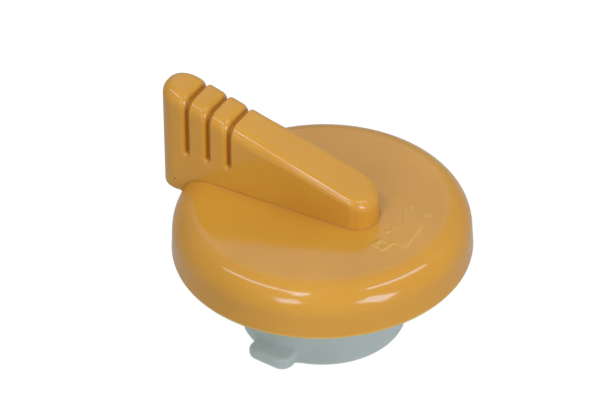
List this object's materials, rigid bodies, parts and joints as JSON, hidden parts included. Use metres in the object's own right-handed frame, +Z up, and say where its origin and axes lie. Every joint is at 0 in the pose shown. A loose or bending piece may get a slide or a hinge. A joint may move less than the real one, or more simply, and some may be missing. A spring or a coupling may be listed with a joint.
{
  "type": "oil filler cap",
  "caption": "Round engine oil filler cap with a tall wedge handle that overhangs the rim, grip grooves, a hollow bayonet plug with lugs and a flat sealing ring.",
  "frame": {"origin": "on the cap's axis, in the plane of the plug's bottom rim that the cap stands on", "axes": "+Z up along the cap's axis towards the handle; +X along the handle towards its low end, so that the tall end overhangs the rim at -X"},
  "size_m": [0.0681, 0.063, 0.0494],
  "materials": {
    "yellow_plastic": "glossy moulded, yellow orange",
    "natural_nylon": "satin, milky and slightly translucent",
    "seal_rubber": "smooth black rubber"
  },
  "bodies": {
    "root": {"head": "yellow_plastic", "bayonet_plug": "natural_nylon", "sealing_ring": "seal_rubber"}
  },
  "joints": []
}
